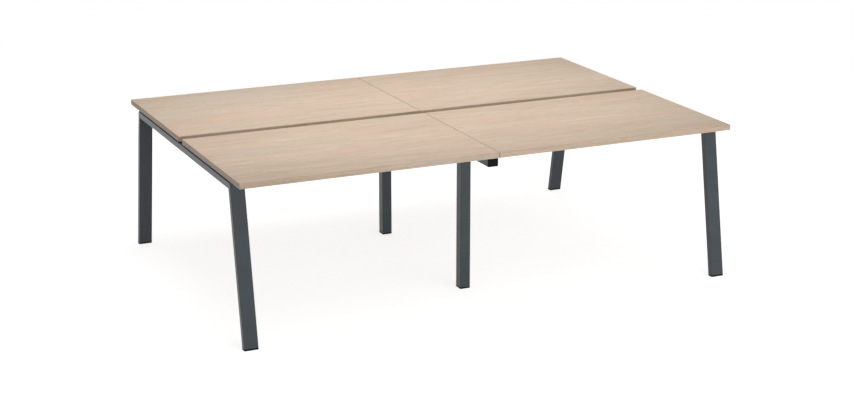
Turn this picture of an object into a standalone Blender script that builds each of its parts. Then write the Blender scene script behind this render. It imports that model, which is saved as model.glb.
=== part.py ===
"""Bench desk of two bays and two facing rows, in metres, with +Z up and the floor at Z = 0.

The origin is on the floor, below the point where the seam between the bays crosses the gap between
the rows. X runs along the rows, and Y runs from the front row to the back row.
"""

import math

import bmesh
import bpy
from mathutils import Matrix, Vector

# Tops: board with a thin band glued round its edge
DESK_HEIGHT = 0.740
TOP_LENGTH = 1.200
TOP_DEPTH = 0.800
TOP_THICKNESS = 0.025
ROW_GAP = 0.050
SEAM_GAP = 0.002
BAND_THICKNESS = 0.002
BAND_ARRIS = 0.001
BAND_INNER_RADIUS = 0.0005

# Steel tubes
END_TUBE_WIDTH = 0.065
END_TUBE_DEPTH = 0.030
MIDDLE_TUBE = 0.050
BEAM_WIDTH = 0.050
BEAM_HEIGHT = 0.030
TUBE_WALL = 0.002
TUBE_INNER_RADIUS = 0.001
LEG_SPLAY = math.radians(10.0)

# Middle frame, measured back from the outer edges of the rows
MIDDLE_BAR_SETBACK = 0.063
MIDDLE_LEG_SETBACK = 0.340
CAP_FLANGE = 0.005
CAP_CHAMFER = 0.0012
CAP_SPIGOT = 0.016
CAP_WALL = 0.0025

# Feet: a plug in the leg, with a glide that screws down out of it
FOOT_HEIGHT = 0.007
FOOT_CHAMFER = 0.0006
PLUG_DEPTH = 0.025
PLUG_WALL = 0.002
PLUG_POCKET_RADIUS = 0.001
FOOT_RIM = 0.0045
GLIDE_GAP = 0.0005
GLIDE_RETRACTION = 0.0005
GLIDE_BASE_HEIGHT = 0.0035
GLIDE_CHAMFER = 0.0008
GLIDE_HEX = 0.013
GLIDE_HEX_HEIGHT = 0.002
GLIDE_TRAVEL = 0.012
STEM_DIAMETER = 0.008
STEM_GRIP = 0.018

# Beam brackets: a flange on the crossbar and a channel that the beam slips over
BRACKET_PLATE = 0.004
BRACKET_EAR = 0.020
BRACKET_RADIUS = 0.004
BRACKET_BOLT_HOLE = 0.009
SPIGOT_LENGTH = 0.045
SPIGOT_WALL = 0.003
SPIGOT_GAP = 0.0005
SPIGOT_SCREW_HOLE = 0.0055

# Spacers between the steel and the tops, each with two screws
SPACER_HEIGHT = 0.006
SPACER_LENGTH = 0.045
SPACER_WIDTH = 0.030
SPACER_RADIUS = 0.006
SPACER_SCREW_PITCH = 0.024
SPACER_NEAR_INSET = 0.100
SPACER_FAR_INSET = 0.115
SCREW_HOLE = 0.0055
DRIVER_HOLE = 0.012

# Gap kept between pieces that touch, and steps in the round shapes
FIT_GAP = 0.0003
CORNER_STEPS = 2
HOLE_SIDES = 12
GLIDE_SIDES = 24

# Derived places
HALF_DEPTH = ROW_GAP / 2 + TOP_DEPTH
HALF_LENGTH = SEAM_GAP / 2 + TOP_LENGTH
ROW_CENTRE = (ROW_GAP + TOP_DEPTH) / 2
BAY_CENTRE = (SEAM_GAP + TOP_LENGTH) / 2
TOP_UNDERSIDE = DESK_HEIGHT - TOP_THICKNESS
FRAME_TOP = TOP_UNDERSIDE - SPACER_HEIGHT
END_BAR_X = HALF_LENGTH - END_TUBE_WIDTH / 2
END_BAR_Z = FRAME_TOP - END_TUBE_DEPTH / 2
FOOT_Y = HALF_DEPTH - END_TUBE_DEPTH / 2 / math.cos(LEG_SPLAY)
MITRE_Y = FOOT_Y - END_BAR_Z * math.tan(LEG_SPLAY)
END_BAR_REACH = HALF_DEPTH - FRAME_TOP * math.tan(LEG_SPLAY)
MIDDLE_BAR_REACH = HALF_DEPTH - MIDDLE_BAR_SETBACK
MIDDLE_LEG_Y = HALF_DEPTH - MIDDLE_LEG_SETBACK - MIDDLE_TUBE / 2
BEAM_Z = FRAME_TOP - BEAM_HEIGHT / 2
END_BAR_INNER = HALF_LENGTH - END_TUBE_WIDTH
BEAM_LENGTH = END_BAR_INNER - MIDDLE_TUBE / 2 - 2 * (BRACKET_PLATE + 2 * FIT_GAP)
BEAM_X = (END_BAR_INNER + MIDDLE_TUBE / 2) / 2
BOLT_Y = BEAM_WIDTH / 2 + BRACKET_EAR / 2
RECESS_RADIUS = END_TUBE_DEPTH / 2 - FOOT_RIM
RECESS_DEPTH = GLIDE_RETRACTION + GLIDE_BASE_HEIGHT + GLIDE_HEX_HEIGHT + FIT_GAP
SPACER_NEAR_Y = ROW_GAP / 2 + SPACER_NEAR_INSET
SPACER_FAR_Y = END_BAR_REACH - SPACER_FAR_INSET
SPACER_PLACES = {"near": SPACER_NEAR_Y, "far": SPACER_FAR_Y}

X_AXIS = Vector((1, 0, 0))
Y_AXIS = Vector((0, 1, 0))
Z_AXIS = Vector((0, 0, 1))
SIDES = {"left": -1, "right": 1}
ROWS = {"front": -1, "back": 1}


def material(name, colour, roughness, metallic=0.0):
    """A plain finish with the colour in linear light."""
    finish = bpy.data.materials.new(name)
    finish.use_nodes = True
    shader = finish.node_tree.nodes["Principled BSDF"]
    shader.inputs["Base Color"].default_value = (*colour, 1.0)
    shader.inputs["Roughness"].default_value = roughness
    shader.inputs["Metallic"].default_value = metallic
    return finish


def rounded_rectangle(width, height, radius):
    """Outline points of a rectangle with round corners, counter-clockwise about its centre."""
    outline = []
    for turn, (side, end) in enumerate(((1, -1), (1, 1), (-1, 1), (-1, -1))):
        centre = Vector((side * (width / 2 - radius), end * (height / 2 - radius)))
        for step in range(CORNER_STEPS + 1):
            angle = (turn - 1 + step / CORNER_STEPS) * math.pi / 2
            outline.append(centre + radius * Vector((math.cos(angle), math.sin(angle))))
    return outline


def lay(outline, across, up, origin):
    """Ring of points from a flat outline, laid on two axes at an origin."""
    return [origin + across * point.x + up * point.y for point in outline]


def loft(name, rings, closed=False):
    """Mesh through rings of equal length, capped at its two ends or closed on itself."""
    shape = bmesh.new()
    loops = [[shape.verts.new(point) for point in ring] for ring in rings]
    pairs = list(zip(loops, loops[1:]))
    if closed:
        pairs.append((loops[-1], loops[0]))
    else:
        shape.faces.new(loops[0])
        shape.faces.new(loops[-1])
    for here, there in pairs:
        for i in range(len(here)):
            j = (i + 1) % len(here)
            shape.faces.new((here[i], here[j], there[j], there[i]))
    bmesh.ops.recalc_face_normals(shape, faces=shape.faces)
    mesh = bpy.data.meshes.new(name)
    shape.to_mesh(mesh)
    shape.free()
    return mesh


def rods(name, places):
    """Cutter mesh of rods from start to end, whose flats touch the circle of their diameter."""
    shape = bmesh.new()
    for start, end, diameter in places:
        run = end - start
        radius = diameter / 2 / math.cos(math.pi / HOLE_SIDES)
        turn = Z_AXIS.rotation_difference(run).to_matrix().to_4x4()
        bmesh.ops.create_cone(
            shape,
            cap_ends=True,
            segments=HOLE_SIDES,
            radius1=radius,
            radius2=radius,
            depth=run.length,
            matrix=Matrix.Translation((start + end) / 2) @ turn,
        )
    mesh = bpy.data.meshes.new(name)
    shape.to_mesh(mesh)
    shape.free()
    return mesh


def combine(mesh, tools, operation):
    """New mesh from a mesh with each tool mesh cut from it or joined to it."""
    body = bpy.data.objects.new(mesh.name, mesh)
    helpers = [bpy.data.objects.new(tool.name, tool) for tool in tools]
    for item in (body, *helpers):
        bpy.context.scene.collection.objects.link(item)
    for helper in helpers:
        step = body.modifiers.new(helper.name, "BOOLEAN")
        step.operation = operation
        step.solver = "EXACT"
        step.object = helper
    bpy.context.view_layer.update()
    graph = bpy.context.evaluated_depsgraph_get()
    result = bpy.data.meshes.new_from_object(body.evaluated_get(graph))
    for item in (body, *helpers):
        bpy.data.objects.remove(item)
    return result


def finished(mesh, finish):
    """The mesh with its finish, smooth except at its edges."""
    mesh.materials.clear()
    mesh.materials.append(finish)
    mesh.shade_smooth()
    mesh.set_sharp_from_angle(angle=math.radians(35.0))
    return mesh


def place(name, mesh, location, turn=0.0):
    """One named piece at its place, turned about the vertical."""
    piece = bpy.data.objects.new(name, mesh)
    piece.location = location
    piece.rotation_euler.z = turn
    bpy.context.scene.collection.objects.link(piece)
    return piece


def half_turn(sign):
    """Turn that points a piece made for the negative side to the side with this sign."""
    return math.pi if sign > 0 else 0.0


def tube(name, width, depth, axes, start, end):
    """Hollow tube along the third axis, cut off by two planes, each a point and a normal."""
    across, up, along = axes
    outer = rounded_rectangle(width, depth, TUBE_INNER_RADIUS + TUBE_WALL)
    inner = rounded_rectangle(width - 2 * TUBE_WALL, depth - 2 * TUBE_WALL, TUBE_INNER_RADIUS)

    def cut(outline, plane):
        point, normal = plane
        ring = lay(outline, across, up, Vector())
        return [p + along * ((point - p).dot(normal) / along.dot(normal)) for p in ring]

    rings = [cut(outer, start), cut(outer, end), cut(inner, end), cut(inner, start)]
    return loft(name, rings, closed=True)


def screw_holes(x, y, half_height):
    """Rods for one spacer's two screws: a screw hole on top and a wider driver hole below."""
    holes = []
    for side in SIDES.values():
        middle = Vector((x + side * SPACER_SCREW_PITCH / 2, y, 0))
        reach = Z_AXIS * 2 * half_height
        holes.append((middle, middle + reach, SCREW_HOLE))
        holes.append((middle - reach, middle - Z_AXIS * half_height / 2, DRIVER_HOLE))
    return holes


def top_mesh():
    """Board of one top, inside its edge band."""
    inset = 2 * (BAND_THICKNESS + FIT_GAP)
    board = bmesh.new()
    size = Matrix.Diagonal((TOP_LENGTH - inset, TOP_DEPTH - inset, TOP_THICKNESS, 1))
    bmesh.ops.create_cube(board, size=1.0, matrix=size)
    mesh = bpy.data.meshes.new("top")
    board.to_mesh(mesh)
    board.free()
    return mesh


def edge_band_mesh():
    """Band round a top, its outer arrises eased."""
    half = TOP_THICKNESS / 2
    section = (
        (BAND_THICKNESS, -half),
        (BAND_ARRIS, -half),
        (0.0, BAND_ARRIS - half),
        (0.0, half - BAND_ARRIS),
        (BAND_ARRIS, half),
        (BAND_THICKNESS, half),
    )
    rings = []
    for inset, height in section:
        radius = BAND_INNER_RADIUS + BAND_THICKNESS - inset
        outline = rounded_rectangle(TOP_LENGTH - 2 * inset, TOP_DEPTH - 2 * inset, radius)
        rings.append(lay(outline, X_AXIS, Y_AXIS, Z_AXIS * height))
    return loft("edge_band", rings, closed=True)


def add_tops():
    """Four tops and their edge bands."""
    decor = material("laminate", (0.66, 0.51, 0.38), 0.45)
    band_decor = material("edge_band", (0.62, 0.47, 0.34), 0.5)
    board = finished(top_mesh(), decor)
    band = finished(edge_band_mesh(), band_decor)
    height = DESK_HEIGHT - TOP_THICKNESS / 2
    for row, y in ROWS.items():
        for side, x in SIDES.items():
            middle = (x * BAY_CENTRE, y * ROW_CENTRE, height)
            place(f"top_{row}_{side}", board, middle)
            place(f"edge_band_{row}_{side}", band, middle)


def mitre_normal():
    """Normal of the front mitre, from the leg's side to the crossbar's side."""
    return Vector((0, 1 + math.sin(LEG_SPLAY), math.cos(LEG_SPLAY))).normalized()


def end_leg_mesh():
    """Splayed leg about its foot on the floor, leaning to +Y, with its head cut to the mitre."""
    lean = Matrix.Rotation(-LEG_SPLAY, 3, "X")
    axes = (X_AXIS, lean @ Y_AXIS, lean @ Z_AXIS)
    normal = mitre_normal()
    head = Vector((0, FOOT_Y - MITRE_Y, END_BAR_Z)) - normal * FIT_GAP / 2
    foot = Z_AXIS * (FOOT_HEIGHT + FIT_GAP)
    return tube("end_leg", END_TUBE_WIDTH, END_TUBE_DEPTH, axes, (foot, Z_AXIS), (head, normal))


def end_crossbar_mesh():
    """Left end crossbar, mitred at both ends, with holes for its spacers and its beam brackets."""
    normal = mitre_normal()
    front = -Y_AXIS * MITRE_Y + normal * FIT_GAP / 2
    flip = Vector((1, -1, 1))
    axes = (X_AXIS, Z_AXIS, Y_AXIS)
    ends = ((front, normal), (front * flip, normal * flip))
    bar = tube("end_crossbar", END_TUBE_WIDTH, END_TUBE_DEPTH, axes, *ends)
    holes = []
    for row in ROWS.values():
        for y in SPACER_PLACES.values():
            holes += screw_holes(0, row * y, END_TUBE_DEPTH / 2)
        for side in SIDES.values():
            bolt = Y_AXIS * (row * ROW_CENTRE + side * BOLT_Y)
            holes.append((bolt, bolt + X_AXIS * END_TUBE_WIDTH, BRACKET_BOLT_HOLE))
    return combine(bar, [rods("end_crossbar_holes", holes)], "DIFFERENCE")


def add_end_frames(paint):
    """Two A-shaped end frames: a crossbar and two splayed legs each."""
    bar = finished(end_crossbar_mesh(), paint)
    leg = finished(end_leg_mesh(), paint)
    for side, x in SIDES.items():
        place(f"end_crossbar_{side}", bar, (x * END_BAR_X, 0, END_BAR_Z), half_turn(x))
        for row, y in ROWS.items():
            place(f"end_leg_{row}_{side}", leg, (x * END_BAR_X, y * FOOT_Y, 0), half_turn(y))


def middle_crossbar_mesh():
    """Middle crossbar, square cut, with holes for its spacers and for brackets on both sides."""
    axes = (X_AXIS, Z_AXIS, Y_AXIS)
    end = Y_AXIS * (MIDDLE_BAR_REACH - CAP_FLANGE - FIT_GAP)
    bar = tube("middle_crossbar", MIDDLE_TUBE, MIDDLE_TUBE, axes, (-end, Y_AXIS), (end, Y_AXIS))
    holes = []
    drop = MIDDLE_TUBE / 2 - END_TUBE_DEPTH / 2
    for row in ROWS.values():
        for y in SPACER_PLACES.values():
            holes += screw_holes(0, row * y, MIDDLE_TUBE / 2)
        for side in SIDES.values():
            bolt = Vector((0, row * ROW_CENTRE + side * BOLT_Y, drop))
            reach = X_AXIS * MIDDLE_TUBE
            holes.append((bolt - reach, bolt + reach, BRACKET_BOLT_HOLE))
    return combine(bar, [rods("middle_crossbar_holes", holes)], "DIFFERENCE")


def middle_leg_mesh():
    """Upright leg from its foot plug to the middle crossbar."""
    foot = Z_AXIS * (FOOT_HEIGHT + FIT_GAP)
    head = Z_AXIS * (FRAME_TOP - MIDDLE_TUBE - FIT_GAP)
    axes = (X_AXIS, Y_AXIS, Z_AXIS)
    return tube("middle_leg", MIDDLE_TUBE, MIDDLE_TUBE, axes, (foot, Z_AXIS), (head, Z_AXIS))


def crossbar_cap_mesh():
    """End cap: a chamfered flange at Y = 0 and a hollow spigot that goes into the tube."""
    bore = MIDDLE_TUBE - 2 * TUBE_WALL - 2 * FIT_GAP
    round_over = TUBE_INNER_RADIUS + TUBE_WALL
    inside = bore - 2 * CAP_WALL
    flange_face = (MIDDLE_TUBE - 2 * CAP_CHAMFER, round_over)
    flange = (MIDDLE_TUBE, round_over)
    spigot = (bore, TUBE_INNER_RADIUS)
    hollow = (inside, TUBE_INNER_RADIUS)
    tip = CAP_FLANGE + CAP_SPIGOT
    profile = (
        (flange_face, 0.0),
        (flange, CAP_CHAMFER),
        (flange, CAP_FLANGE),
        (spigot, CAP_FLANGE),
        (spigot, tip),
        (hollow, tip),
        (hollow, CAP_FLANGE),
    )
    rings = []
    for (size, radius), y in profile:
        rings.append(lay(rounded_rectangle(size, size, radius), X_AXIS, Z_AXIS, Y_AXIS * y))
    return loft("crossbar_cap", rings)


def add_middle_frame(paint, plastic):
    """Middle frame: a capped crossbar on two upright legs."""
    height = FRAME_TOP - MIDDLE_TUBE / 2
    place("middle_crossbar", finished(middle_crossbar_mesh(), paint), (0, 0, height))
    leg = finished(middle_leg_mesh(), paint)
    cap = finished(crossbar_cap_mesh(), plastic)
    for row, y in ROWS.items():
        place(f"middle_leg_{row}", leg, (0, y * MIDDLE_LEG_Y, 0))
        place(f"crossbar_cap_{row}", cap, (0, y * MIDDLE_BAR_REACH, height), half_turn(y))


def slanted(outline, height, splay, shift=0.0):
    """Level ring round a slanted leg's axis, which meets the floor at the origin."""
    centre = Vector((shift, height * math.tan(splay), height))
    return lay(outline, X_AXIS, Y_AXIS / math.cos(splay), centre)


def foot_plug_mesh(name, width, depth, splay):
    """Plug with a flange under the leg, pockets beside its nut block, and a recess for the glide."""
    head = FOOT_HEIGHT + PLUG_DEPTH
    inset = 2 * (TUBE_WALL + FIT_GAP)
    insert = (width - inset, depth - inset)
    edge = TUBE_INNER_RADIUS + TUBE_WALL
    sole = rounded_rectangle(width - 2 * FOOT_CHAMFER, depth - 2 * FOOT_CHAMFER, edge)
    flange = rounded_rectangle(width, depth, edge)
    neck = rounded_rectangle(*insert, TUBE_INNER_RADIUS)
    levels = ((sole, 0.0), (flange, FOOT_CHAMFER), (flange, FOOT_HEIGHT), (neck, FOOT_HEIGHT), (neck, head))
    plug = loft(name, [slanted(outline, height, splay) for outline, height in levels])
    block = RECESS_RADIUS + PLUG_WALL
    pocket_end = insert[0] / 2 - PLUG_WALL
    pocket = rounded_rectangle(pocket_end - block, insert[1] - 2 * PLUG_WALL, PLUG_POCKET_RADIUS)
    shift = (pocket_end + block) / 2
    tools = []
    for side in SIDES.values():
        rings = [slanted(pocket, z, splay, side * shift) for z in (FOOT_HEIGHT, head + FOOT_HEIGHT)]
        tools.append(loft("pocket", rings))
    ceiling = Z_AXIS * RECESS_DEPTH
    below = -Z_AXIS * FOOT_HEIGHT
    tools.append(rods("glide_recess", [(below, ceiling, 2 * RECESS_RADIUS)]))
    bore = STEM_DIAMETER + 2 * FIT_GAP
    tools.append(rods("stem_bore", [(Z_AXIS * RECESS_DEPTH / 2, Z_AXIS * 2 * head, bore)]))
    return combine(plug, tools, "DIFFERENCE")


def circle(radius):
    """Outline points of a circle round a glide's axis."""
    angles = [2 * math.pi * i / GLIDE_SIDES for i in range(GLIDE_SIDES)]
    return [Vector((radius * math.cos(angle), radius * math.sin(angle))) for angle in angles]


def hexagon(width):
    """Outline points of a hexagon, as many as a circle has, with its width across the flats."""
    sector = math.pi / 3
    outline = []
    for point in circle(1.0):
        from_flat = math.atan2(point.y, point.x) % sector - sector / 2
        outline.append(point * (width / 2 / math.cos(from_flat)))
    return outline


def glide_mesh():
    """Levelling glide about its own axis: a round base, a hexagon to turn it by, and its stem."""
    base = RECESS_RADIUS - GLIDE_GAP
    stem = STEM_DIAMETER / 2
    base_top = GLIDE_RETRACTION + GLIDE_BASE_HEIGHT
    hex_top = base_top + GLIDE_HEX_HEIGHT
    tip = hex_top + GLIDE_TRAVEL + STEM_GRIP
    levels = (
        (circle(base - GLIDE_CHAMFER), GLIDE_RETRACTION),
        (circle(base), GLIDE_RETRACTION + GLIDE_CHAMFER),
        (circle(base), base_top),
        (hexagon(GLIDE_HEX), base_top),
        (hexagon(GLIDE_HEX), hex_top),
        (circle(stem), hex_top),
        (circle(stem), tip - GLIDE_CHAMFER),
        (circle(stem - GLIDE_CHAMFER), tip),
    )
    rings = [lay(outline, X_AXIS, Y_AXIS, Z_AXIS * height) for outline, height in levels]
    return loft("levelling_glide", rings)


def add_feet(plastic):
    """Six foot plugs and six glides, each glide's origin on the axis that it travels along."""
    zinc = material("zinc_steel", (0.55, 0.56, 0.57), 0.35, 1.0)
    end_plug = finished(foot_plug_mesh("end_plug", END_TUBE_WIDTH, END_TUBE_DEPTH, LEG_SPLAY), plastic)
    middle_plug = finished(foot_plug_mesh("middle_plug", MIDDLE_TUBE, MIDDLE_TUBE, 0.0), plastic)
    glide = finished(glide_mesh(), zinc)
    legs = {
        "left": (end_plug, -END_BAR_X, FOOT_Y),
        "middle": (middle_plug, 0.0, MIDDLE_LEG_Y),
        "right": (end_plug, END_BAR_X, FOOT_Y),
    }
    for row, sign in ROWS.items():
        for side, (plug, x, y) in legs.items():
            foot = (x, sign * y, 0)
            place(f"foot_plug_{row}_{side}", plug, foot, half_turn(sign))
            place(f"levelling_glide_{row}_{side}", glide, foot)


def beam_mesh():
    """Beam along X, with screw holes for its spacer and, below each end, for its bracket."""
    axes = (Y_AXIS, Z_AXIS, X_AXIS)
    end = X_AXIS * BEAM_LENGTH / 2
    beam = tube("beam", BEAM_WIDTH, BEAM_HEIGHT, axes, (-end, X_AXIS), (end, X_AXIS))
    holes = screw_holes(0, 0, BEAM_HEIGHT / 2)
    for side in SIDES.values():
        screw = side * (end - X_AXIS * (SPIGOT_LENGTH / 2 - FIT_GAP))
        holes.append((screw - Z_AXIS * BEAM_HEIGHT, screw, SPIGOT_SCREW_HOLE))
    return combine(beam, [rods("beam_holes", holes)], "DIFFERENCE")


def bracket_mesh():
    """Bracket with its flange's back at X = 0 and its channel, open above, along +X in the beam."""
    plate = rounded_rectangle(BEAM_WIDTH + 2 * BRACKET_EAR, BEAM_HEIGHT, BRACKET_RADIUS)
    faces = [lay(plate, Y_AXIS, Z_AXIS, X_AXIS * x) for x in (0.0, BRACKET_PLATE)]
    wide = BEAM_WIDTH / 2 - TUBE_WALL - SPIGOT_GAP
    high = BEAM_HEIGHT / 2 - TUBE_WALL - SPIGOT_GAP
    thin = wide - SPIGOT_WALL
    web = SPIGOT_WALL - high
    channel = ((wide, -high), (wide, high), (thin, high), (thin, web), (-thin, web), (-thin, high))
    channel += ((-wide, high), (-wide, -high))
    outline = [Vector(point) for point in channel]
    run = (BRACKET_PLATE / 2, BRACKET_PLATE + SPIGOT_LENGTH)
    spigot = loft("spigot", [lay(outline, Y_AXIS, Z_AXIS, X_AXIS * x) for x in run])
    bracket = combine(loft("beam_bracket", faces), [spigot], "UNION")
    rise = BEAM_HEIGHT / 2 - END_TUBE_DEPTH / 2
    holes = []
    for side in SIDES.values():
        bolt = Vector((0, side * BOLT_Y, rise))
        through = X_AXIS * 2 * BRACKET_PLATE
        holes.append((bolt - through, bolt + through, BRACKET_BOLT_HOLE))
    screw = X_AXIS * (BRACKET_PLATE + SPIGOT_LENGTH / 2)
    holes.append((screw - Z_AXIS * BEAM_HEIGHT, screw, SPIGOT_SCREW_HOLE))
    return combine(bracket, [rods("bracket_holes", holes)], "DIFFERENCE")


def add_beams(paint):
    """Four beams and the brackets at their outer and inner ends."""
    beam = finished(beam_mesh(), paint)
    bracket = finished(bracket_mesh(), paint)
    seats = {"outer": (END_BAR_INNER - FIT_GAP, 1), "inner": (MIDDLE_TUBE / 2 + FIT_GAP, -1)}
    for row, y in ROWS.items():
        for side, x in SIDES.items():
            place(f"beam_{row}_{side}", beam, (x * BEAM_X, y * ROW_CENTRE, BEAM_Z))
            for end, (reach, facing) in seats.items():
                seat = (x * reach, y * ROW_CENTRE, BEAM_Z)
                place(f"beam_bracket_{row}_{side}_{end}", bracket, seat, half_turn(x * facing))


def spacer_mesh():
    """Flat pad with two screw holes."""
    pad = rounded_rectangle(SPACER_LENGTH, SPACER_WIDTH, SPACER_RADIUS)
    half = SPACER_HEIGHT / 2 - FIT_GAP
    block = loft("spacer", [lay(pad, X_AXIS, Y_AXIS, Z_AXIS * z) for z in (-half, half)])
    holes = []
    for side in SIDES.values():
        screw = X_AXIS * side * SPACER_SCREW_PITCH / 2
        reach = Z_AXIS * SPACER_HEIGHT
        holes.append((screw - reach, screw + reach, SCREW_HOLE))
    return combine(block, [rods("spacer_holes", holes)], "DIFFERENCE")


def add_spacers(plastic):
    """Spacers on the end crossbars, on the middle crossbar under the seam, and on the beams."""
    spacer = finished(spacer_mesh(), plastic)
    height = FRAME_TOP + SPACER_HEIGHT / 2
    for row, sign in ROWS.items():
        for spot, y in SPACER_PLACES.items():
            place(f"middle_spacer_{row}_{spot}", spacer, (0, sign * y, height))
        for side, x in SIDES.items():
            middle = (x * BEAM_X, sign * ROW_CENTRE, height)
            place(f"beam_spacer_{row}_{side}", spacer, middle)
            for spot, y in SPACER_PLACES.items():
                name = f"end_spacer_{row}_{side}_{spot}"
                place(name, spacer, (x * END_BAR_X, sign * y, height))


def build():
    """Clears the scene and makes every piece of the desk."""
    for old in list(bpy.data.objects):
        bpy.data.objects.remove(old)
    paint = material("anthracite_paint", (0.085, 0.100, 0.105), 0.55)
    plastic = material("black_plastic", (0.010, 0.011, 0.012), 0.6)
    spacer_plastic = material("spacer_plastic", (0.014, 0.014, 0.015), 0.65)
    add_tops()
    add_end_frames(paint)
    add_middle_frame(paint, plastic)
    add_feet(plastic)
    add_beams(paint)
    add_spacers(spacer_plastic)


build()
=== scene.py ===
# %% [markdown]
# # A bench desk, dressed
#
# The desk's solids are already packed as a frame: tops, tubes, plugs and glides, all at their real
# size and place. This lesson gives each of them the finish that it has on the real desk, adds the
# small fasteners, welds, glue lines and threads, and sets up a plain studio round it. Everything is in
# metres, with +Z up and the floor at zero.

# %% Load the frame
import math

import bmesh
import bpy
from mathutils import Matrix, Vector


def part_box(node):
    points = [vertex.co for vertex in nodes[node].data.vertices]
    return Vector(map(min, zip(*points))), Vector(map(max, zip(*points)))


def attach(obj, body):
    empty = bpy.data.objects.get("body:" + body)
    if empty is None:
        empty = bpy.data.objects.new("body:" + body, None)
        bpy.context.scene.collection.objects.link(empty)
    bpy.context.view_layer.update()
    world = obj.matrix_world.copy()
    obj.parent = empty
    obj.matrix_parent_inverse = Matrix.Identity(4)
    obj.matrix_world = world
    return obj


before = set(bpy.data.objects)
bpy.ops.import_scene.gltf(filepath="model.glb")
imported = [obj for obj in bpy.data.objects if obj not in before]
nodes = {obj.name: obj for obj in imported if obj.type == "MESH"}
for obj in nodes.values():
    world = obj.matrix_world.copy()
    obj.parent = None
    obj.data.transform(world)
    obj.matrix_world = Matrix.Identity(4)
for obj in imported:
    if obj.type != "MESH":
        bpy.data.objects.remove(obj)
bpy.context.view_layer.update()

# %% [markdown]
# ## Arithmetic on sockets
#
# A finish is a small calculation: how light is the wood here, how rough is the paint there? In a node
# editor that takes many Math nodes. One small class lets it be written as Python arithmetic instead.
# Each operator adds the Math node that does the sum, and `node` adds any other kind of node. Numbers
# alone stay in Python, and colours go through Mix, because Math would turn them grey.

# %% A socket that can be calculated with
class Wire:
    """One output socket of a material's nodes, or none yet; arithmetic on it adds Math nodes."""

    def __init__(self, tree, socket=None):
        self.tree = tree
        self.socket = socket

    def node(self, kind, inputs=None, output=0, **settings):
        """Adds a node, sets it up, fills its sockets with values or wires, and gives one output."""
        made = self.tree.nodes.new(kind)
        for setting, value in settings.items():
            setattr(made, setting, value)
        for name, value in (inputs or {}).items():
            if isinstance(value, Wire):
                self.tree.links.new(value.socket, made.inputs[name])
            else:
                made.inputs[name].default_value = value
        return Wire(self.tree, made.outputs[output])

    def other(self, output):
        """Another output of the node that this wire comes from."""
        return Wire(self.tree, self.socket.node.outputs[output])

    def math(self, operation, *values, clamp=False):
        return self.node("ShaderNodeMath", dict(enumerate(values)), operation=operation, use_clamp=clamp)

    def __add__(self, value):
        return self.math("ADD", self, value)

    def __sub__(self, value):
        return self.math("SUBTRACT", self, value)

    def __rsub__(self, value):
        return self.math("SUBTRACT", value, self)

    def __mul__(self, value):
        return self.math("MULTIPLY", self, value)

    __radd__ = __add__
    __rmul__ = __mul__

    def clamped(self):
        """The value, held between 0 and 1."""
        return self.math("ADD", self, 0.0, clamp=True)

    def step(self, start, end):
        """0 below the start, 1 above the end, and a smooth rise between them."""
        limits = {"Value": self, "From Min": start, "From Max": end}
        return self.node("ShaderNodeMapRange", limits, interpolation_type="SMOOTHSTEP")

    def stretched(self, scale, shift=(0.0, 0.0, 0.0)):
        """A position, multiplied along each axis and then moved."""
        inputs = {0: self, 1: scale, 2: shift}
        return self.node("ShaderNodeVectorMath", inputs, operation="MULTIPLY_ADD")

    def noise(self, scale=1.0, detail=2.0, roughness=0.5, distortion=0.0):
        """Cloudy noise round 0.5 at a position."""
        inputs = {
            "Vector": self,
            "Scale": scale,
            "Detail": detail,
            "Roughness": roughness,
            "Distortion": distortion,
        }
        return self.node("ShaderNodeTexNoise", inputs)

    def between(self, low, high):
        """A colour from low, where this value is 0, to high, where it is 1."""
        inputs = {0: self, 6: (*low, 1.0) if isinstance(low, tuple) else low, 7: (*high, 1.0)}
        return self.node("ShaderNodeMix", inputs, output=2, data_type="RGBA")

    def bump(self, strength, distance):
        """A normal, bent as if this value were a height."""
        inputs = {"Height": self, "Strength": strength, "Distance": distance}
        return self.node("ShaderNodeBump", inputs)


def new_finish(name, **plain):
    """A new material with its shader's uniform values set, the shader, and the position on it."""
    finish = bpy.data.materials.new(name)
    finish.use_nodes = True
    shader = finish.node_tree.nodes["Principled BSDF"]
    for socket, value in plain.items():
        shader.inputs[socket.replace("_", " ")].default_value = value
    place = Wire(finish.node_tree).node("ShaderNodeTexCoord", output="Object")
    return finish, shader, place


def feed(shader, **wires):
    """Links wires into a shader's sockets."""
    for socket, wire in wires.items():
        wire.tree.links.new(wire.socket, shader.inputs[socket.replace("_", " ")])


print("operators ready")

# %% [markdown]
# ## Light oak decor
#
# The tops are board with a printed oak laminate. Oak shows its grain at several sizes: bands a hand
# wide where the tree grew faster or slower, flames a few centimetres wide inside them, fine streaks
# and fibres, and short dark pores. All of them run with the grain, so each is plain noise that is
# stretched along X and squeezed across it. Year rings could be drawn as waves, but contour lines of
# the bands follow them better: the band's value, times a count of rings, starts again at each whole
# number. Every ring starts dark and full of pores and then fades, as oak's spring wood does. Some
# areas are a little rosier than the rest, and others a little greyer.

# %% Oak grain
OAK_PALE = (0.755, 0.592, 0.440)
OAK_WARM = (0.535, 0.380, 0.255)
OAK_ROSY = (0.680, 0.470, 0.345)
OAK_GREY = (0.610, 0.510, 0.405)
OAK_PORE = (0.36, 0.25, 0.17)
# Repeats in a metre, along the grain and then across it
BAND_REPEATS = (1.2, 9.0, 9.0)
FLAME_REPEATS = (3.2, 40.0, 40.0)
STREAK_REPEATS = (9.0, 130.0, 130.0)
FIBRE_REPEATS = (18.0, 520.0, 520.0)
PORE_REPEATS = (46.0, 1900.0, 1900.0)
HUE_REPEATS = (2.2, 10.0, 10.0)
HUE_SHIFT = (3.1, 5.7, 0.0)
HUE_SHARE = 0.55
PORE_SHARE = 0.5
PAINTED_MIDDLE_LIGHT = 0.20
GRAIN_MEAN = 1.27
RINGS = 34.0
RING_WOBBLE = 0.5
RING_DARK = 0.16
RING_FADE = 0.55


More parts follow.
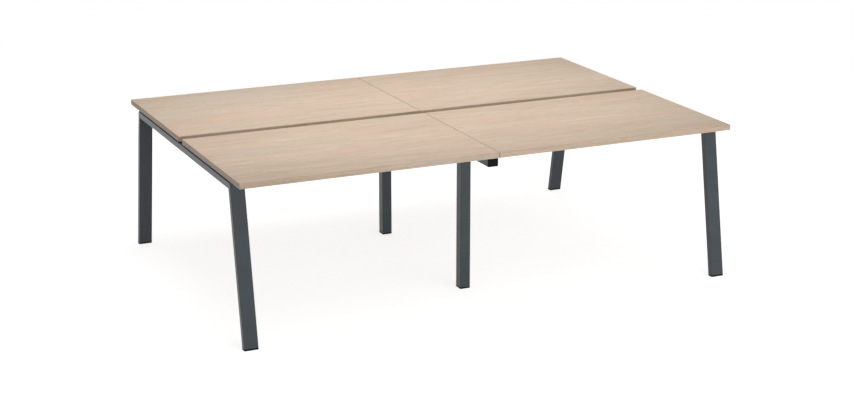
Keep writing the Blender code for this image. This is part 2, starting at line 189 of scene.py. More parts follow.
def oak_colour(grain_place, painted_light):
    """Colour, pore mask and fibre of oak whose grain runs along X, painted paler as painted light from 0
    to 1.
    """
    bands = grain_place.stretched(BAND_REPEATS).noise(detail=2.0, distortion=0.6)
    flames = grain_place.stretched(FLAME_REPEATS).noise(detail=3.0, distortion=0.5)
    streaks = grain_place.stretched(STREAK_REPEATS).noise(detail=4.0, roughness=0.65)
    fibres = grain_place.stretched(FIBRE_REPEATS).noise(detail=3.0)
    dashes = grain_place.stretched(PORE_REPEATS).noise(detail=1.0)
    hue = grain_place.stretched(HUE_REPEATS, HUE_SHIFT).noise(detail=2.0)
    rings = bands.math("FRACT", bands * RINGS + streaks * RING_WOBBLE)
    spring = 1 - rings.step(0.0, RING_FADE)
    grain = bands * 0.6 + flames * 1.0 + streaks * 1.1 + fibres * 0.6 - spring * RING_DARK
    # Painted light: a top is made paler towards the middle of its width, for the brighter light there.
    tone = (grain + (painted_light * PAINTED_MIDDLE_LIGHT - GRAIN_MEAN)).clamped()
    wood = tone.between(OAK_WARM, OAK_PALE)
    wood = (hue.step(0.50, 0.70) * HUE_SHARE).between(wood, OAK_ROSY)
    wood = ((1 - hue.step(0.30, 0.48)) * HUE_SHARE).between(wood, OAK_GREY)
    pores = dashes.step(0.55, 0.64) * spring
    return (pores * PORE_SHARE).between(wood, OAK_PORE), pores, fibres


print("rings from the palest band to the darkest, at most:", RINGS)

# %% [markdown]
# ## Laminate on the tops
#
# The decor is pressed into a satin skin, with its pores a little deeper and rougher than the rest. One
# finish for all four tops would run the same figure across the seams. On the real desk each board is
# cut from another place of the sheet, so every top reads the noise from a place of its own. The middle
# of each board's width is painted paler: painted light, for the brighter light under the softbox.

# %% Laminate
BOARD_STEP = 7.3
DECOR_IOR = 1.46
DECOR_RELIEF = 0.0003
HANDLING_REPEATS = 5.0


def laminate(name, board):
    """Satin oak laminate for a top, read from the board's own place on the sheet."""
    finish, shader, place = new_finish(f"laminate_{name}", IOR=DECOR_IOR, Specular_IOR_Level=0.5)
    low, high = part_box(name)
    y = place.node("ShaderNodeSeparateXYZ", {"Vector": place}, output="Y")
    across = (y - (low.y + high.y) / 2) * (2 / (high.y - low.y))
    sheet = place.stretched((1.0, 1.0, 1.0), (board * BOARD_STEP, board * BOARD_STEP / 2, 0.0))
    # Painted light: 1 along the middle of the board's width, falling to 0 at its front and back edges.
    colour, pores, fibres = oak_colour(sheet, 1 - across * across)
    handling = place.noise(HANDLING_REPEATS, detail=3.0)
    relief = fibres * 0.35 - pores
    feed(
        shader,
        Base_Color=colour,
        Roughness=0.40 + pores * 0.20 + handling * 0.10,
        Normal=relief.bump(0.12, DECOR_RELIEF),
    )
    return finish


tops = sorted(name for name in nodes if name.startswith("top_"))
laminates = {name: laminate(name, board) for board, name in enumerate(tops)}
print("boards with their own grain:", len(laminates))

# %% [markdown]
# ## Edge band
#
# The band is a strip of the same decor that is glued round the edge, so its grain always runs along
# the edge: along X on the long sides and along Y on the ends. Each side could have a finish of its
# own, but one is enough: the face's own normal tells which side a point is on, and swaps the two
# directions there. The band is printed by itself, so its grain is straighter and narrower than the
# top's, its colour a little greyer and its surface duller.

# %% Edge bands
EDGING_SATURATION = 0.87
EDGING_VALUE = 0.97
EDGING_NARROWER = 2.2
EDGING_STEP = 1.7
END_TURN = (0.6, 0.8)


def edge_band(name, board):
    """Oak edging whose grain follows the edge."""
    finish, shader, place = new_finish(name, IOR=DECOR_IOR, Specular_IOR_Level=0.35)
    facing = place.node("ShaderNodeNewGeometry", output="Normal")
    sideways = facing.node("ShaderNodeSeparateXYZ", {"Vector": facing})
    on_end = sideways.math("ABSOLUTE", sideways).step(*END_TURN)
    axes = place.node("ShaderNodeSeparateXYZ", {"Vector": place})
    x, y, z = axes, axes.other("Y"), axes.other("Z")
    along = x + on_end * (y - x)
    strip_place = {"X": along + board * BOARD_STEP, "Y": z * EDGING_NARROWER, "Z": board * EDGING_STEP}
    strip = place.node("ShaderNodeCombineXYZ", strip_place)
    # The band takes none of the painted light that makes the middle of a top paler.
    colour, pores, fibres = oak_colour(strip, painted_light=0.0)
    printed = {"Saturation": EDGING_SATURATION, "Value": EDGING_VALUE, "Color": colour}
    feed(
        shader,
        Base_Color=colour.node("ShaderNodeHueSaturation", printed),
        Roughness=0.52 + pores * 0.15,
        Normal=(fibres * 0.3 - pores).bump(0.10, DECOR_RELIEF),
    )
    return finish


edge_bands = sorted(name for name in nodes if name.startswith("edge_band_"))
edgings = {name: edge_band(f"edging_{name}", board) for board, name in enumerate(edge_bands)}
print("edge bands:", len(edgings))

# %% [markdown]
# ## Anthracite powder coat
#
# The tubes are powder coated. The powder melts into a skin that is slightly wavy, like the peel of an
# orange, with a fine grit on top. One colour and one roughness would look like plastic. So the colour
# changes a little with the grit and in faint clouds, and a small bump at two sizes breaks up the
# reflections. At a low angle the coat mirrors its surroundings, which is why the outer faces of the
# end frames look paler than the fronts of the legs.

# %% Powder coat
COAT_DARK = (0.034, 0.043, 0.049)
COAT_LIGHT = (0.094, 0.113, 0.125)
PEEL_REPEATS = 260.0
GRIT_REPEATS = 1400.0
CLOUD_REPEATS = 9.0


def powder_coat(name):
    """Satin anthracite powder coat."""
    finish, shader, place = new_finish(name, IOR=1.52, Specular_IOR_Level=0.25)
    peel = place.noise(PEEL_REPEATS, detail=2.0)
    grit = place.noise(GRIT_REPEATS, detail=2.0)
    cloud = place.noise(CLOUD_REPEATS, detail=3.0)
    feed(
        shader,
        Base_Color=(cloud * 0.4 + grit * 0.6).between(COAT_DARK, COAT_LIGHT),
        Roughness=0.22 + cloud * 0.06 + grit * 0.10,
        Normal=(peel * 0.6 + grit * 0.4).bump(0.40, 0.0004),
    )
    return finish


frame_coat = powder_coat("anthracite_coat")
print("coat:", frame_coat.name)

# %% [markdown]
# ## Black mouldings
#
# Foot plugs, end caps and spacers are injection moulded. The mould is spark eroded, which leaves an
# even, sandy skin that scatters light, and handling polishes it in places. Modelling the sand would
# take millions of faces, so a bump stands for it. The same noise at two sizes gives the sand and the
# polish. The plugs, which stand on the floor, are painted blacker than the caps, as painted shade at
# the floor, and are duller; the spacers are a shade greyer.

# %% Moulded plastic
# Painted shade: the foot plugs are darker than the caps, for the shade where they stand on the floor.
PLUG_PAINTED_SHADE_DARK = (0.002, 0.0025, 0.003)
PLUG_PAINTED_SHADE_LIGHT = (0.006, 0.007, 0.008)
CAP_DARK = (0.004, 0.005, 0.006)
CAP_LIGHT = (0.009, 0.011, 0.012)
SPACER_DARK = (0.008, 0.008, 0.008)
SPACER_LIGHT = (0.016, 0.016, 0.016)
DULL_SHINE = 0.05
SATIN_SHINE = 0.12
SAND_REPEATS = 1900.0
POLISH_REPEATS = 38.0


def moulded(name, dark, light, shine):
    """Matt black plastic with a sandy skin."""
    finish, shader, place = new_finish(name, IOR=1.48, Specular_IOR_Level=shine)
    sand = place.noise(SAND_REPEATS, detail=2.0)
    polish = place.noise(POLISH_REPEATS, detail=3.0)
    feed(
        shader,
        Base_Color=(sand * 0.7 + polish * 0.3).between(dark, light),
        Roughness=0.62 - polish.step(0.5, 0.8) * 0.15,
        Normal=sand.bump(0.25, 0.0003),
    )
    return finish


# The foot plugs carry painted shade: the same plastic as the caps, made darker.
plug_plastic = moulded("plug_plastic", PLUG_PAINTED_SHADE_DARK, PLUG_PAINTED_SHADE_LIGHT, DULL_SHINE)
cap_plastic = moulded("cap_plastic", CAP_DARK, CAP_LIGHT, SATIN_SHINE)
spacer_plastic = moulded("spacer_plastic", SPACER_DARK, SPACER_LIGHT, SATIN_SHINE)
print("mouldings:", plug_plastic.name, cap_plastic.name, spacer_plastic.name)

# %% [markdown]
# ## Zinc
#
# Glides, screws and bolts are zinc plated steel: a thin, bluish metal skin. A plain metal would look
# like chrome. Plating grows in small crystals, so its roughness changes from one to the next, and it
# dulls where it is touched. Cell noise gives the crystals, and cloudy noise the dulling.

# %% Zinc plating
ZINC_COOL = (0.52, 0.54, 0.56)
ZINC_WARM = (0.62, 0.61, 0.58)
CRYSTAL_REPEATS = 900.0
DULLING_REPEATS = 120.0


def zinc_plating(name):
    """Zinc plated steel."""
    finish, shader, place = new_finish(name, Metallic=1.0)
    crystals = place.node("ShaderNodeTexVoronoi", {"Vector": place, "Scale": CRYSTAL_REPEATS})
    dulling = place.noise(DULLING_REPEATS, detail=3.0)
    feed(
        shader,
        Base_Color=dulling.between(ZINC_COOL, ZINC_WARM),
        Roughness=0.26 + crystals * 0.12 + dulling * 0.14,
        Normal=crystals.bump(0.06, 0.0002),
    )
    return finish


zinc = zinc_plating("zinc_plating")
print("plating:", zinc.name)

# %% [markdown]
# ## Finishes on the solids
#
# The finishes could be handed out in a list of all the solids, but a solid's name already says what it
# is, so the start of the name chooses the finish. The tops and the bands take their own, and everything
# that isn't plastic or zinc is a painted tube or bracket.

# %% Give each solid its finish
FINISH_BY_START = {
    "foot_plug": plug_plastic,
    "crossbar_cap": cap_plastic,
    "end_spacer": spacer_plastic,
    "middle_spacer": spacer_plastic,
    "beam_spacer": spacer_plastic,
    "levelling_glide": zinc,
}


def finish_of(name):
    """The finish of a solid, from its name."""
    own = {**laminates, **edgings}
    if name in own:
        return own[name]
    matches = [finish for start, finish in FINISH_BY_START.items() if name.startswith(start)]
    return matches[0] if matches else frame_coat


for name, solid in nodes.items():
    solid.data.materials.clear()
    solid.data.materials.append(finish_of(name))
print("finished solids:", len(nodes))

# %% [markdown]
# ## A lathe for fasteners
#
# Screws and bolts are turned shapes with a recess for the driver. A Screw modifier could turn them, but
# not the recess. A stack of rings makes both: round rings for the head and the shank, and a star or
# hexagon ring for the recess. When all rings have as many points, each can be joined to the next.
# Copies of one fastener go into one piece, because nobody names the screws of a desk one by one.

# %% Rings, stacks and groups
RING_POINTS = 24
SHARP_FROM = math.radians(40.0)


def ring(radius_at, height):
    """Points round the axis at a height; the radius is a number or a function of the angle."""
    angles = [2 * math.pi * i / RING_POINTS for i in range(RING_POINTS)]
    radii = [radius_at(a) if callable(radius_at) else radius_at for a in angles]
    return [Vector((r * math.cos(a), r * math.sin(a), height)) for r, a in zip(radii, angles)]


def stack(shape, rings, where=None, hollow=False):
    """Adds a closed solid through the rings to a mesh: capped at its ends, or hollow like a hoop."""
    where = where or Matrix.Identity(4)
    loops = [[shape.verts.new(where @ point) for point in points] for points in rings]
    pairs = list(zip(loops, loops[1:]))
    if hollow:
        pairs.append((loops[-1], loops[0]))
    else:
        shape.faces.new(loops[0])
        shape.faces.new(loops[-1])
    for here, there in pairs:
        for i in range(len(here)):
            j = (i + 1) % len(here)
            shape.faces.new((here[i], here[j], there[j], there[i]))


def add_piece(name, shape, finish, body="desk"):
    """A named piece from a mesh in the making, riding on a body, with smooth rounds."""
    bmesh.ops.recalc_face_normals(shape, faces=shape.faces)
    mesh = bpy.data.meshes.new(name)
    shape.to_mesh(mesh)
    shape.free()
    mesh.materials.append(finish)
    mesh.shade_smooth()
    mesh.set_sharp_from_angle(angle=SHARP_FROM)
    piece = bpy.data.objects.new(name, mesh)
    bpy.context.scene.collection.objects.link(piece)
    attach(piece, body)
    print(name, "faces:", len(mesh.polygons))


def aimed(point, direction):
    """Placement that puts the origin at a point and turns +Z to a direction."""
    turn = Vector((0, 0, 1)).rotation_difference(Vector(direction)).to_matrix().to_4x4()
    return Matrix.Translation(point) @ turn


print("points in a ring:", RING_POINTS)

# %% [markdown]
# ## Screws under the tops
#
# Each spacer takes two pan-head screws. They pass up through the tube's upper wall and the spacer into
# the board, and a driver reaches their heads through wider holes in the lower wall. So the heads hang
# inside the tubes and are seen only from below. The recess is a cross, which is a star-shaped outline:
# its radius at each angle is either the arm's end or the arm's side.

# %% Spacer screws
TUBE_WALL = 0.002
SCREW_PITCH = 0.024
SCREW_HEAD = 0.0044
SCREW_HEAD_HEIGHT = 0.0028
SCREW_SHANK = 0.0020
SCREW_LENGTH = 0.021
SCREW_POINT = 0.0002
SCREW_POINT_LENGTH = 0.005
# Shares of the head's radius and height, from its seat to its crown
PAN_PROFILE = ((1.0, 0.0), (1.0, 0.45), (0.93, 0.78), (0.74, 1.0))
CROSS_REACH = 0.0024
CROSS_WIDTH = 0.0011
CROSS_DEPTH = 0.0016
CROSS_BOTTOM = 0.7
SMALLEST_SINE = 1e-6


def cross(angle):
    """Radius of a cross-shaped recess at an angle."""
    quarter = math.pi / 2
    off_arm = abs((angle + quarter / 2) % quarter - quarter / 2)
    to_end = CROSS_REACH / math.cos(off_arm)
    to_side = CROSS_WIDTH / 2 / max(math.sin(off_arm), SMALLEST_SINE)
    return min(to_end, to_side)


def pan_head_screw(shape, where):
    """Screw with its head's seat at the origin, its head towards +Z and its point towards -Z."""
    top = SCREW_HEAD_HEIGHT
    shank = [
        ring(SCREW_POINT, -SCREW_LENGTH),
        ring(SCREW_SHANK, -SCREW_LENGTH + SCREW_POINT_LENGTH),
        ring(SCREW_SHANK, 0.0),
    ]
    head = [ring(SCREW_HEAD * out, top * up) for out, up in PAN_PROFILE]
    recess = [
        ring(cross, top),
        ring(lambda angle: cross(angle) * CROSS_BOTTOM, top - CROSS_DEPTH),
    ]
    stack(shape, shank + head + recess, where)


screws = bmesh.new()
bar_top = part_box("end_crossbar_left")[1].z
for name in sorted(nodes):
    if "_spacer_" in name:
        low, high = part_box(name)
        for side in (-1, 1):
            seat = (low + high) / 2
            seat.x += side * SCREW_PITCH / 2
            seat.z = bar_top - TUBE_WALL
            pan_head_screw(screws, aimed(seat, (0, 0, -1)))
add_piece("spacer_screws", screws, zinc)

# %% [markdown]
# ## A bolt with a low round head
#
# Brackets and beams are held by bolts with a low, round head. A hexagon socket is easier to draw than a
# cross: its radius is the half width over the cosine of the angle from the nearest flat. Bolts of one
# kind have the same proportions in each size, so these are given in radii of the shank, and one
# function makes them all.

# %% Button bolt
# In radii of the shank
HEAD_RADIUS = 1.75
SOCKET_WIDTH = 1.25
SOCKET_DEPTH = 0.6
TIP_RADIUS = 0.85
TIP_LENGTH = 0.3
WASHER_RADIUS = 2.0
WASHER_RIM = 1.9
WASHER_THICKNESS = 0.36
# Shares of the head's radius, with heights over its seat in radii of the shank
BUTTON_PROFILE = ((1.0, 0.0), (1.0, 0.22), (0.93, 0.62), (0.78, 0.92), (0.60, 1.1))
# Share of the washer's thickness, and a hair that keeps the washer off the plate and the head
WASHER_BEVEL_FROM = 0.8
WASHER_CLEARANCE = 0.00002


def hexagon(width):
    """Radius of a hexagon of this width across flats, as a function of the angle."""
    sector = math.pi / 3
    return lambda angle: width / 2 / math.cos(angle % sector - sector / 2)


def button_bolt(shape, where, shank, length, washer=True):
    """Bolt with a low round head; its seat is at the origin and its head towards +Z."""
    seat = shank * WASHER_THICKNESS if washer else 0.0
    if washer:
        disc = [
            ring(shank * WASHER_RADIUS, WASHER_CLEARANCE),
            ring(shank * WASHER_RADIUS, seat * WASHER_BEVEL_FROM),
            ring(shank * WASHER_RIM, seat - WASHER_CLEARANCE),
        ]
        stack(shape, disc, where)
    stem = [
        ring(shank * TIP_RADIUS, -length),
        ring(shank, -length + shank * TIP_LENGTH),
        ring(shank, seat),
    ]
    head = [ring(shank * HEAD_RADIUS * out, seat + shank * up) for out, up in BUTTON_PROFILE]
    top = seat + shank * BUTTON_PROFILE[-1][1]
    socket = [
        ring(hexagon(shank * SOCKET_WIDTH), top),
        ring(hexagon(shank * SOCKET_WIDTH), top - shank * SOCKET_DEPTH),
    ]
    stack(shape, stem + head + socket, where)


print("rings in a bolt's head:", len(BUTTON_PROFILE))

# %% [markdown]
# ## Bolts of the beam brackets
#
# Two bolts with washers hold each bracket to its crossbar, one in each ear, and a smaller one holds the
# beam on the bracket's spigot, from below. Their places could be listed, but the frame has them: the
# bolts sit on the bracket's plate. The spigot points away from the crossbar, so comparing the bracket
# with its beam tells which way the heads face.

# %% Bracket bolts and beam screws
PLATE = 0.004
BOLT_OFFSET = 0.035
BOLT_SHANK = 0.004
BOLT_LENGTH = 0.014
BEAM_SCREW_INSET = 0.0222
BEAM_SCREW_SHANK = 0.0025
BEAM_SCREW_LENGTH = 0.009

bolts = bmesh.new()
for name in sorted(nodes):
    if name.startswith("beam_bracket_"):
        low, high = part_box(name)
        beam_low, beam_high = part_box(name.replace("_bracket", "").rsplit("_", 1)[0])
        away = 1 if low.x + high.x < beam_low.x + beam_high.x else -1
        face = low.x + PLATE if away > 0 else high.x - PLATE
        for side in (-1, 1):
            seat = Vector((face, (low.y + high.y) / 2 + side * BOLT_OFFSET, (low.z + high.z) / 2))
            button_bolt(bolts, aimed(seat, (away, 0, 0)), BOLT_SHANK, BOLT_LENGTH)
add_piece("bracket_bolts", bolts, zinc)

beam_screws = bmesh.new()
for row in ("front", "back"):
    for side in ("left", "right"):
        low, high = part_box(f"beam_{row}_{side}")
        for x in (low.x + BEAM_SCREW_INSET, high.x - BEAM_SCREW_INSET):
            seat = Vector((x, (low.y + high.y) / 2, low.z))
            where = aimed(seat, (0, 0, -1))
            button_bolt(beam_screws, where, BEAM_SCREW_SHANK, BEAM_SCREW_LENGTH, washer=False)
add_piece("beam_screws", beam_screws, zinc)

# %% [markdown]
# ## Ends of the tubes
#
# The frames are welded from tubes whose outline is a rectangle with round corners. Where a tube is cut
# at an angle, the cut end could be measured on the solid. It is simpler to slide each point of the
# outline along the tube until it meets the plane of the cut.

# %% Outline and cut
CORNER_STEPS = 2
ALONG_X = Vector((1, 0, 0))


def outline(width, depth, corner):
    """Corner points of a rectangle with rounded corners, as pairs round its centre."""
    points = []
    for turn, (right, top) in enumerate(((1, -1), (1, 1), (-1, 1), (-1, -1))):
        for step in range(CORNER_STEPS + 1):
            angle = (turn - 1 + step / CORNER_STEPS) * math.pi / 2
            across = right * (width / 2 - corner) + corner * math.cos(angle)
            up = top * (depth / 2 - corner) + corner * math.sin(angle)
            points.append((across, up))
    return points


def cut_end(points, up, along, plane_point, plane_normal):
    """A tube's outline where a plane cuts the tube, which runs through the plane's point."""
    ring_points = [plane_point + ALONG_X * a + up * b for a, b in points]
    slide = along.dot(plane_normal)
    return [p + along * ((plane_point - p).dot(plane_normal) / slide) for p in ring_points]


print("points in an outline:", 4 * (CORNER_STEPS + 1))

# %% [markdown]
# ## Flush welds
#
# The mitres of the end frames, and the sides of the joints in the middle frame, are welded and then
# ground flush, so the paint runs across them without a line. A mitre's weld fills the hairline between
# two cut ends, so it is a hoop from one cut outline to the other, and fits by itself. In the middle
# frame the weld fills the groove that is left between the bar's round edge and the flat head of the leg.

# %% Mitre and groove welds
TUBE_CORNER = 0.003
HAIRLINE = 0.0003
LEG_SPLAY = math.radians(10.0)
ROWS = {"front": -1, "back": 1}
UPWARD = Vector((0, 0, 1))


def mitre_weld(shape, side, row):
    """Hoop between the cut ends of a crossbar and its splayed leg."""
    sign = ROWS[row]
    low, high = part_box(f"end_crossbar_{side}")
    width, depth = high.x - low.x, high.z - low.z
    normal = Vector((0, -sign * (1 + math.sin(LEG_SPLAY)), math.cos(LEG_SPLAY))).normalized()
    reach = low.y if sign < 0 else high.y
    inward = math.tan(math.pi / 4 - LEG_SPLAY / 2) * depth / 2
    bar_end = Vector(((low.x + high.x) / 2, reach - sign * inward, (low.z + high.z) / 2))
    leg_end = bar_end - normal * HAIRLINE
    leg_along = Vector((0, -sign * math.sin(LEG_SPLAY), math.cos(LEG_SPLAY)))
    leg_out = Vector((0, sign * math.cos(LEG_SPLAY), math.sin(LEG_SPLAY)))
    outer = outline(width, depth, TUBE_CORNER)
    inner = outline(width - 2 * TUBE_WALL, depth - 2 * TUBE_WALL, TUBE_CORNER - TUBE_WALL)
    bar_along = Vector((0, 1, 0))
    hoop = [
        cut_end(outer, leg_out, leg_along, leg_end, normal),
        cut_end(outer, UPWARD, bar_along, bar_end, normal),
        cut_end(inner, UPWARD, bar_along, bar_end, normal),
        cut_end(inner, leg_out, leg_along, leg_end, normal),
    ]
    stack(shape, hoop, hollow=True)


def groove_weld(shape, row, side):
    """Filling between the middle crossbar's lower round edge and the head of an upright leg."""
    leg_low, leg_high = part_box(f"middle_leg_{row}")
    bar_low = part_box("middle_crossbar")[0]
    face = side * leg_high.x
    section = [(face - side * TUBE_CORNER, leg_high.z), (face, leg_high.z)]
    for step in range(CORNER_STEPS + 1):
        angle = step / CORNER_STEPS * math.pi / 2
        x = face - side * TUBE_CORNER * (1 - math.cos(angle))
        z = bar_low.z + TUBE_CORNER * (1 - math.sin(angle))
        section.append((x, z))
    ends = (leg_low.y + TUBE_CORNER, leg_high.y - TUBE_CORNER)
    stack(shape, [[Vector((x, y, z)) for x, z in section] for y in ends])


flush = bmesh.new()
for row in ROWS:
    for side in ("left", "right"):
        mitre_weld(flush, side, row)
    for side in (-1, 1):
        groove_weld(flush, row, side)
add_piece("flush_welds", flush, frame_coat)

# %% [markdown]
# ## Weld beads
#
# The inner corners keep their bead: where the splayed leg meets the underside of its crossbar, and
# where an upright leg meets the middle crossbar. A bead is a rounded fillet with ripples. A bevelled
# curve would be round all over, so it is drawn as a row of sections whose size swells and shrinks a
# little, and which tapers off at both ends.

# %% Weld beads
BEAD_LEG = 0.0042
RIPPLE_PITCH = 0.0024
RIPPLE_STEPS = 4
RIPPLE_SWELL = 0.07
BEAD_START = 0.45
BEAD_GROWTH = 0.2
BEAD_SECTION = ((0.0, 0.0), (1.0, 0.0), (0.78, 0.36), (0.60, 0.60), (0.36, 0.78), (0.0, 1.0))


def bead(shape, corner, one_wall, other_wall, length):
    """Fillet bead along X in a corner, its sections leaning on two walls."""
    steps = int(length / RIPPLE_PITCH) * RIPPLE_STEPS
    rings = []
    for i in range(steps + 1):
        swell = 1 + RIPPLE_SWELL * math.cos(2 * math.pi * i / RIPPLE_STEPS)
        taper = min(1.0, BEAD_START + BEAD_GROWTH * min(i, steps - i))
        size = BEAD_LEG * swell * taper
        middle = corner + ALONG_X * (length * (i / steps - 0.5))
        rings.append([middle + (one_wall * a + other_wall * b) * size for a, b in BEAD_SECTION])
    stack(shape, rings)


def inner_foot(name, sign):
    """Point at the foot of a splayed leg, on the face that looks under the desk."""
    points = [v.co for v in nodes[name].data.vertices]
    lowest = min(p.z for p in points)
    return Vector((0, -sign * max(p.y * -sign for p in points if p.z < lowest + HAIRLINE), lowest))


beads = bmesh.new()
for row, sign in ROWS.items():
    inward = Vector((0, -sign, 0))
    down = Vector((0, sign * math.sin(LEG_SPLAY), -math.cos(LEG_SPLAY)))
    for side in ("left", "right"):
        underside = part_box(f"end_crossbar_{side}")[0].z
        leg_low, leg_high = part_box(f"end_leg_{row}_{side}")
        foot = inner_foot(f"end_leg_{row}_{side}", sign)
        corner = foot - down * ((underside - foot.z) / math.cos(LEG_SPLAY))
        corner.x = (leg_low.x + leg_high.x) / 2
        bead(beads, corner, inward, down, leg_high.x - leg_low.x - 2 * TUBE_CORNER)
    leg_low, leg_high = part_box(f"middle_leg_{row}")
    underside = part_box("middle_crossbar")[0].z
    for y, out in ((leg_low.y, -1), (leg_high.y, 1)):
        corner = Vector((0, y, underside))
        bead(beads, corner, Vector((0, out, 0)), -UPWARD, leg_high.x - leg_low.x - 2 * TUBE_CORNER)
add_piece("weld_beads", beads, frame_coat)

# %% [markdown]
# ## Glue lines
#
# Hot glue holds each band to its board, and a hairline of it shows round the top, two millimetres in
# from the edge. It could be drawn in the finish, but the solids leave a real hairline there, so a thin
# frame of glue fills it, a touch lower than the top. It is one more hoop, between two rounded
# rectangles.

# %% Glue lines
GLUE_DARK = (0.44, 0.31, 0.20)
GLUE_LIGHT = (0.54, 0.40, 0.27)
GLUE_DIP = 0.0001
GLUE_CLEARANCE = 0.00003
GLUE_OUTER_CORNER = 0.00047
GLUE_INNER_CORNER = 0.00004
SQUEEZE_REPEATS = 60.0
GLUE_GRIT_REPEATS = 1600.0


def hot_glue(name):
    """Tan glue, shiny where it was squeezed out."""
    finish, shader, place = new_finish(name, IOR=1.48, Specular_IOR_Level=0.4)
    squeeze = place.noise(SQUEEZE_REPEATS, detail=3.0)
    grit = place.noise(GLUE_GRIT_REPEATS, detail=1.0)
    feed(
        shader,
        Base_Color=squeeze.between(GLUE_DARK, GLUE_LIGHT),
        Roughness=0.55 - squeeze * 0.20,
        Normal=grit.bump(0.15, 0.0001),
    )
    return finish


def glue_line(name, finish):
    """Frame of glue round one board."""
    low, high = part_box(name)
    centre, size = (low + high) / 2, high - low
    spread = 2 * (HAIRLINE - GLUE_CLEARANCE)
    outer = outline(size.x + spread, size.y + spread, GLUE_OUTER_CORNER)
    inner = outline(size.x + 2 * GLUE_CLEARANCE, size.y + 2 * GLUE_CLEARANCE, GLUE_INNER_CORNER)
    top, bottom = high.z - GLUE_DIP, low.z + GLUE_DIP
    frames = ((outer, top), (outer, bottom), (inner, bottom), (inner, top))
    shape = bmesh.new()
    hoop = [[Vector((centre.x + x, centre.y + y, z)) for x, y in points] for points, z in frames]
    stack(shape, hoop, hollow=True)
    add_piece(name.replace("top", "glue_line"), shape, finish)


glue = hot_glue("hot_glue")
for name in tops:
    glue_line(name, glue)

# %% [markdown]
# ## Threads of the glides
#
# Each glide hangs on a threaded stem, which shows when the glide is wound out to level the desk. A
# stack of grooves would look much the same from afar, but a thread is a ridge that climbs one pitch a
# turn. Its section is a small triangle that is carried round the stem and up at once, and its two ends
# sink back into the stem, as a real thread runs out.

# %% Glide threads
STEM_RADIUS = 0.004
THREAD_PITCH = 0.00125
THREAD_HEIGHT = 0.0002
THREAD_STEPS = 16
THREAD_HALF_BASE = 0.38 * THREAD_PITCH
THREAD_ROOT = 0.0001
HEX_CLEARANCE = 0.0085
TIP_CLEARANCE = 0.002


def thread_piece(name, body):
    """Thread ridge on one glide's stem."""
    low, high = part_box(name)
    centre = (low + high) / 2
    start = low.z + HEX_CLEARANCE
    turns = (high.z - TIP_CLEARANCE - start) / THREAD_PITCH
    steps = int(turns * THREAD_STEPS)
    rings = []
    for i in range(steps + 1):
        angle = 2 * math.pi * i / THREAD_STEPS
        outward = Vector((math.cos(angle), math.sin(angle), 0))
        rise = start + THREAD_PITCH * i / THREAD_STEPS
        crest = THREAD_HEIGHT * min(1.0, i / THREAD_STEPS, (steps - i) / THREAD_STEPS)
        axis = Vector((centre.x, centre.y, rise))
        half = UPWARD * THREAD_HALF_BASE
        root = axis + outward * (STEM_RADIUS - THREAD_ROOT)
        rings.append([root - half, axis + outward * (STEM_RADIUS + crest), root + half])
    ridge = bmesh.new()
    stack(ridge, rings)
    add_piece(name.replace("levelling_glide", "glide_thread"), ridge, zinc, body)


glides = sorted(name for name in nodes if name.startswith("levelling_glide_"))
for name in glides:
    thread_piece(name, name.replace("levelling_glide", "glide"))
print("threads:", len(glides))

# %% [markdown]
# ## White ground
#
# The desk stands on plain white. A floor that is only lit would turn grey where the lamps don't reach.
# So most of its white is its own, and the ground stays clean in the picture, while the rest is lit and
# keeps the desk's soft shadow. From below it is clear, so that the underside can be looked at. The
# world is white to the camera and to reflections, and dimmer as a lamp.

# %% Floor and world
FLOOR_SIZE = 60.0
FLOOR_DROP = 0.0005
FLOOR_PALE = (0.70, 0.70, 0.70, 1.0)
FLOOR_WHITE = 0.74
WORLD_LIGHT = 0.25


def seen_directly(wire):
    """1 for rays from the camera, mirrors and clear things, and 0 for light on its way."""
    path = wire.node("ShaderNodeLightPath", output="Is Camera Ray")
    return (path + path.other("Is Glossy Ray") + path.other("Is Transmission Ray")).clamped()


def white_floor():
    """Big floor a hair under the feet: its own white and what the lamps add, and clear from below."""
    shape = bmesh.new()
    bmesh.ops.create_grid(shape, x_segments=1, y_segments=1, size=FLOOR_SIZE / 2)
    mesh = bpy.data.meshes.new("floor")
    shape.to_mesh(mesh)
    shape.free()
    finish = bpy.data.materials.new("floor_white")
    finish.use_nodes = True
    tree = finish.node_tree
    tree.nodes.remove(tree.nodes["Principled BSDF"])
    wire = Wire(tree)
    lit = wire.node("ShaderNodeBsdfDiffuse", {"Color": FLOOR_PALE})
    own = wire.node("ShaderNodeEmission", {"Strength": FLOOR_WHITE})
    looked_at = wire.node("ShaderNodeAddShader", {0: lit, 1: own})
    white = wire.node("ShaderNodeMixShader", {0: seen_directly(wire), 1: lit, 2: looked_at})
    below = wire.node("ShaderNodeNewGeometry", output="Backfacing")
    clear = wire.node("ShaderNodeBsdfTransparent")
    one_sided = wire.node("ShaderNodeMixShader", {0: below, 1: white, 2: clear})
    tree.links.new(one_sided.socket, tree.nodes["Material Output"].inputs["Surface"])
    mesh.materials.append(finish)
    floor = bpy.data.objects.new("floor", mesh)
    floor.location.z = -FLOOR_DROP
    bpy.context.scene.collection.objects.link(floor)


def white_world():
    """White to look at, dimmer as a light."""
    world = bpy.data.worlds.new("studio")
    bpy.context.scene.world = world
    world.use_nodes = True
    wire = Wire(world.node_tree)
    strength = seen_directly(wire) * (1 - WORLD_LIGHT) + WORLD_LIGHT
    backdrop = world.node_tree.nodes["Background"]
    backdrop.inputs["Color"].default_value = (1.0, 1.0, 1.0, 1.0)
    world.node_tree.links.new(strength.socket, backdrop.inputs["Strength"])


white_floor()
white_world()
print("floor:", FLOOR_SIZE, "m wide")

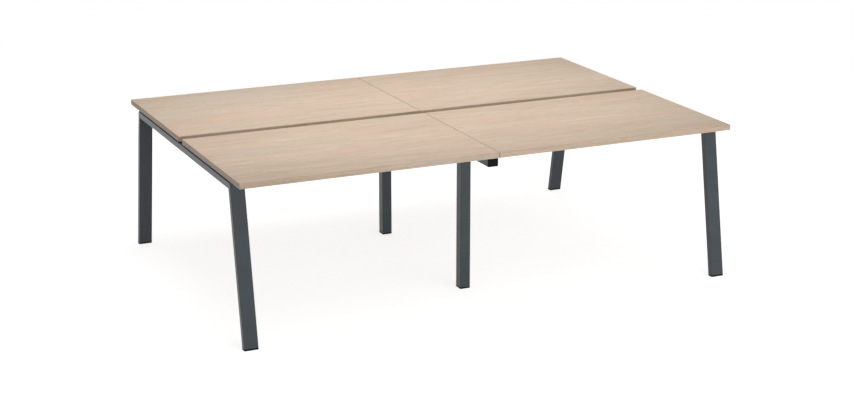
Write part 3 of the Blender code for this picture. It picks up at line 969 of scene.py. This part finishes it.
# %% [markdown]
# ## Lamps
#
# One lamp would leave hard shadows and black sides. A big softbox hangs low over the tops, a wide, even
# light comes from high over the front, and a low fill stands before the desk. So the tops are
# brightest, most of all near their middle, where painted light in the laminate adds to the lamps, the
# fronts come next, the near end and the far legs are in half light, and the gap between the rows stays
# dark. Two more fills, behind the desk and at its far end, light the sides that the camera doesn't see,
# for whoever walks round it.

# %% Lamps
SUN_STRENGTH = 0.40
SUN_WIDTH = math.radians(60.0)


def hang(name, lamp, place, target):
    """Hangs a lamp at a place, aimed at a point, out of sight of the camera and of reflections."""
    holder = bpy.data.objects.new(name, lamp)
    holder.location = place
    holder.rotation_euler = (Vector(target) - Vector(place)).to_track_quat("-Z", "Y").to_euler()
    holder.visible_camera = False
    holder.visible_glossy = False
    bpy.context.scene.collection.objects.link(holder)


def softbox(name, size, watts, place, target):
    """A rectangle of light."""
    lamp = bpy.data.lights.new(name, "AREA")
    lamp.shape = "RECTANGLE"
    lamp.size, lamp.size_y = size
    lamp.energy = watts
    hang(name, lamp, place, target)


high_light = bpy.data.lights.new("high_light", "SUN")
high_light.energy = SUN_STRENGTH
high_light.angle = SUN_WIDTH
hang("high_light", high_light, place=(0.8, -1.6, 4.4), target=(0.0, 0.0, 0.4))
softbox("top_light", (2.7, 1.8), watts=14.6, place=(-0.06, 0.08, 1.54), target=(-0.06, 0.08, 0.74))
softbox("low_fill", (3.6, 1.0), watts=43.0, place=(0.5, -3.4, 0.75), target=(0.0, -0.8, 0.45))
softbox("back_fill", (3.6, 0.6), watts=24.0, place=(0.5, 3.4, 0.35), target=(0.0, 0.8, 0.40))
softbox("end_fill", (2.4, 0.6), watts=14.0, place=(3.6, 0.3, 0.35), target=(1.2, 0.0, 0.40))

# %% [markdown]
# ## Camera
#
# The camera stands to the left of the desk's front, well above the tops, with a long lens. Its place
# and turn were found by laying the desk's corners and feet over the picture.

# %% Camera
IMAGE_WIDTH = 854
FOCAL_PIXELS = 1796.7
SENSOR_WIDTH = 36.0
CAMERA_PLACE = (-3.443, -7.621, 2.786)
CAMERA_TURN = -0.4270
CAMERA_TILT = 0.2918

lens = bpy.data.cameras.new("camera")
lens.sensor_width = SENSOR_WIDTH
lens.lens = FOCAL_PIXELS / IMAGE_WIDTH * SENSOR_WIDTH
camera = bpy.data.objects.new("camera", lens)
camera.location = CAMERA_PLACE
camera.rotation_euler = (math.pi / 2 - CAMERA_TILT, 0.0, CAMERA_TURN)
bpy.context.scene.collection.objects.link(camera)
bpy.context.scene.camera = camera
bpy.context.scene.view_settings.view_transform = "Standard"
print("lens:", round(lens.lens, 1), "mm")
